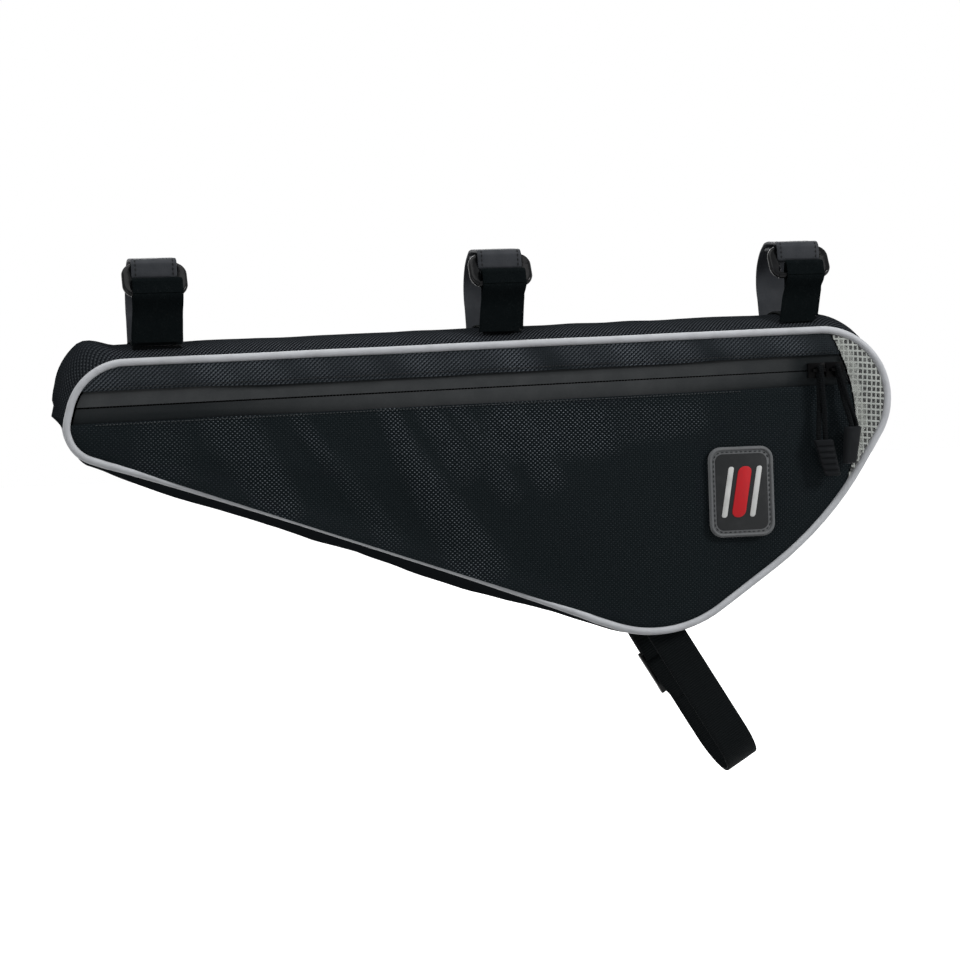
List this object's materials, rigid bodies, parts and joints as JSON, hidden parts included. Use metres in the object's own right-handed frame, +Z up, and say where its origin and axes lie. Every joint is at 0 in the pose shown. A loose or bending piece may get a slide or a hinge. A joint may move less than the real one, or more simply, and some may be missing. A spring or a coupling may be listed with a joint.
{
  "type": "bike frame bag",
  "caption": "Wedge-shaped fabric bag for a bicycle's frame triangle, with piped edges, a zip with paired sliders, a scrim window and straps that close round the frame's tubes.",
  "frame": {"origin": "on the axis of the bicycle's top tube, at the middle strap", "axes": "+X along the top tube towards the bag's deep end, +Z up, +Y away from the side with the zip"},
  "size_m": [0.4486, 0.0715, 0.2885],
  "materials": {
    "nylon": "woven ballistic nylon, coated inside",
    "piping": "grey reflective piping",
    "zip_tape": "smooth coated zip tape",
    "zip_teeth": "moulded teeth",
    "slider": "black painted die casting",
    "pull_cord": "braided cord",
    "grip": "moulded grip",
    "film": "clear film with a woven scrim",
    "patch": "moulded patch, plain",
    "webbing": "woven webbing",
    "band": "smooth band with stitched edges",
    "hook_loop": "hook and loop pile",
    "ring": "glossy moulded ring",
    "lock": "glossy moulded ladder lock"
  },
  "bodies": {
    "bag": {"back_panel": "nylon", "back_piping": "piping", "front_panel_lower": "nylon", "front_panel_upper": "nylon", "front_piping": "piping", "gusset": "nylon", "hook_leg_front": "webbing", "hook_leg_middle": "webbing", "hook_leg_rear": "webbing", "lock_anchor": "webbing", "lower_strap": "webbing", "lower_strap_free_end": "webbing", "ring_band_front": "band", "ring_band_middle": "band", "ring_band_rear": "band", "side_patch": "patch", "strap_base_front": "webbing", "strap_base_middle": "webbing", "strap_base_rear": "webbing", "strap_ring_front": "ring", "strap_ring_middle": "ring", "strap_ring_rear": "ring", "window": "film", "zip_stop_nose": "zip_teeth", "zip_tape_lower": "zip_tape", "zip_tape_upper": "zip_tape", "zip_teeth_lower": "zip_teeth", "zip_teeth_upper": "zip_teeth"},
    "slider_right": {"zip_slider_right": "slider"},
    "slider_left": {"zip_slider_left": "slider"},
    "pull_right": {"pull_cord_right": "pull_cord", "pull_grip_right": "grip"},
    "pull_left": {"pull_cord_left": "pull_cord", "pull_grip_left": "grip"},
    "lock": {"ladder_lock": "lock"},
    "tail_front": {"hook_tail_front": "hook_loop"},
    "tail_middle": {"hook_tail_middle": "hook_loop"},
    "tail_rear": {"hook_tail_rear": "hook_loop"}
  },
  "joints": [
    {"name": "right_slider_slide", "type": "slide", "parent": "bag", "child": "slider_right", "axis": [-0.9999, 0, -0.0149], "range_m": [0, 0.03], "deforming": ["zip_teeth_upper", "zip_teeth_lower", "zip_tape_upper", "zip_tape_lower"]},
    {"name": "left_slider_slide", "type": "slide", "parent": "slider_right", "child": "slider_left", "axis": [-0.9999, 0, -0.0149], "range_m": [0, 0.345], "deforming": ["zip_teeth_upper", "zip_teeth_lower", "zip_tape_upper", "zip_tape_lower"]},
    {"name": "left_pull_lift", "type": "hinge", "parent": "slider_left", "child": "pull_left", "pos_m": [0.16803, -0.03225, -0.04799], "axis": [-0.9999, 0, -0.0149], "range_deg": [0, 120]},
    {"name": "right_pull_lift", "type": "hinge", "parent": "slider_right", "child": "pull_right", "pos_m": [0.17803, -0.03225, -0.04784], "axis": [-0.9999, 0, -0.0149], "range_deg": [0, 120]},
    {"name": "front_tail_peel", "type": "hinge", "parent": "bag", "child": "tail_front", "pos_m": [-0.184, -0.02581, 0.003], "axis": [-1, 0, 0], "range_deg": [0, 150]},
    {"name": "middle_tail_peel", "type": "hinge", "parent": "bag", "child": "tail_middle", "pos_m": [-0.002, -0.02581, 0.003], "axis": [-1, 0, 0], "range_deg": [0, 150]},
    {"name": "rear_tail_peel", "type": "hinge", "parent": "bag", "child": "tail_rear", "pos_m": [0.1625, -0.02581, 0.003], "axis": [-1, 0, 0], "range_deg": [0, 150]},
    {"name": "lock_tilt", "type": "hinge", "parent": "bag", "child": "lock", "pos_m": [0.08645, 0.0234, -0.19613], "axis": [0.8572, 0, 0.515], "range_deg": [0, 25], "deforming": ["lower_strap_free_end"]}
  ]
}
